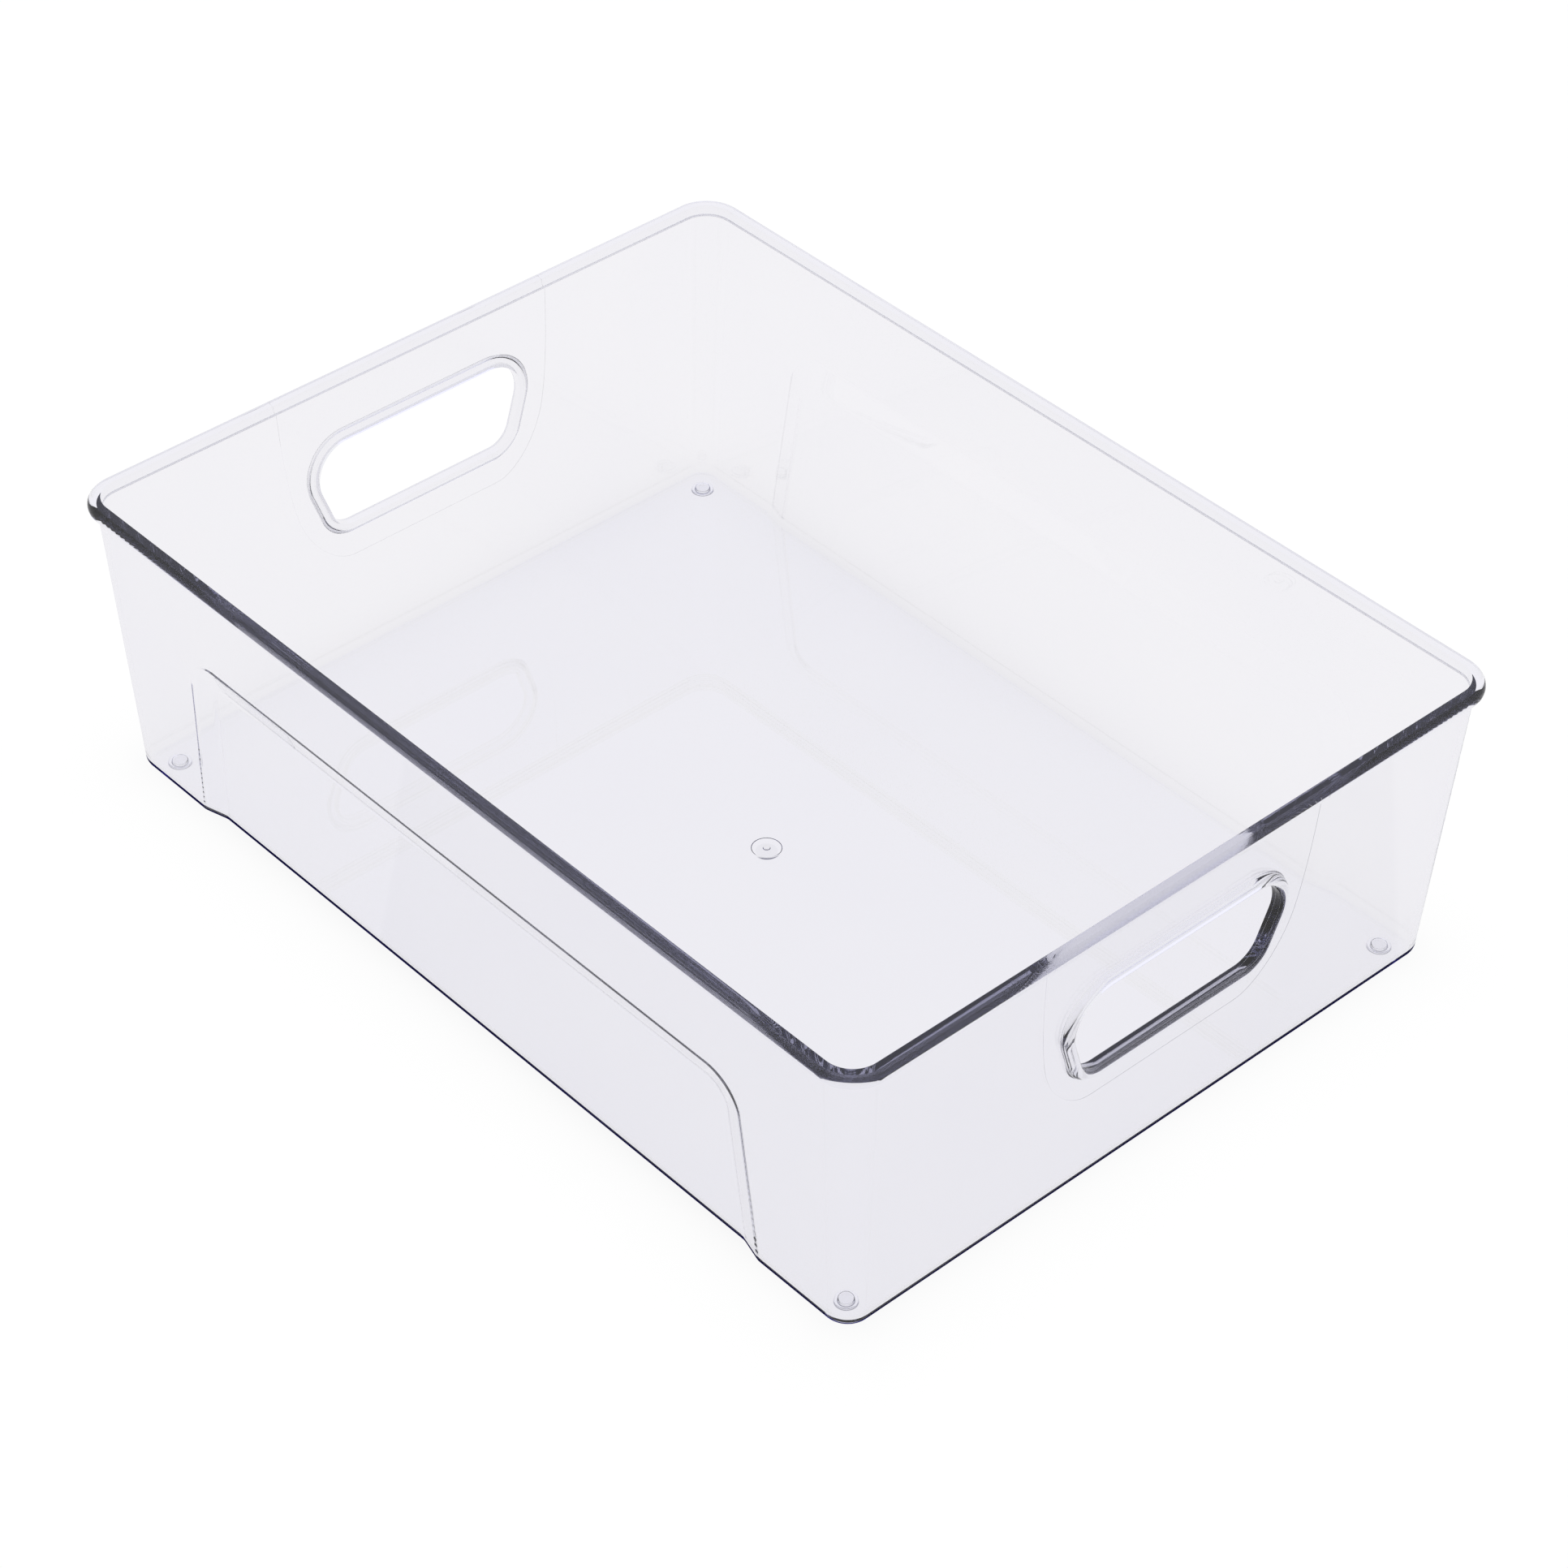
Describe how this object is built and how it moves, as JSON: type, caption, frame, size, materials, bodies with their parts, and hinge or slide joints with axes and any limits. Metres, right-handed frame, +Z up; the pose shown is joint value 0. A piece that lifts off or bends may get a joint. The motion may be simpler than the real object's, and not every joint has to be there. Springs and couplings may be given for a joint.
{
  "type": "fridge bin",
  "caption": "Clear open-topped fridge storage bin with drafted walls, turned-out rim, finger slots in the end walls and small foot pads, for sliding groceries in and out of a fridge shelf.",
  "frame": {"origin": "on the resting plane under the middle of the bin", "axes": "+X along the long side, towards one end handle; +Y across the bin; +Z up, out of the open top"},
  "size_m": [0.37, 0.2766, 0.1124],
  "materials": {
    "clear_plastic": "clear, polished, very faint lavender grey where the plastic is seen edge-on",
    "clear_foot_pad": "clear, slightly softer sheen"
  },
  "bodies": {
    "root": {"bin_body": "clear_plastic", "foot_front_left": "clear_foot_pad", "foot_front_right": "clear_foot_pad", "foot_back_left": "clear_foot_pad", "foot_back_right": "clear_foot_pad"}
  },
  "joints": []
}
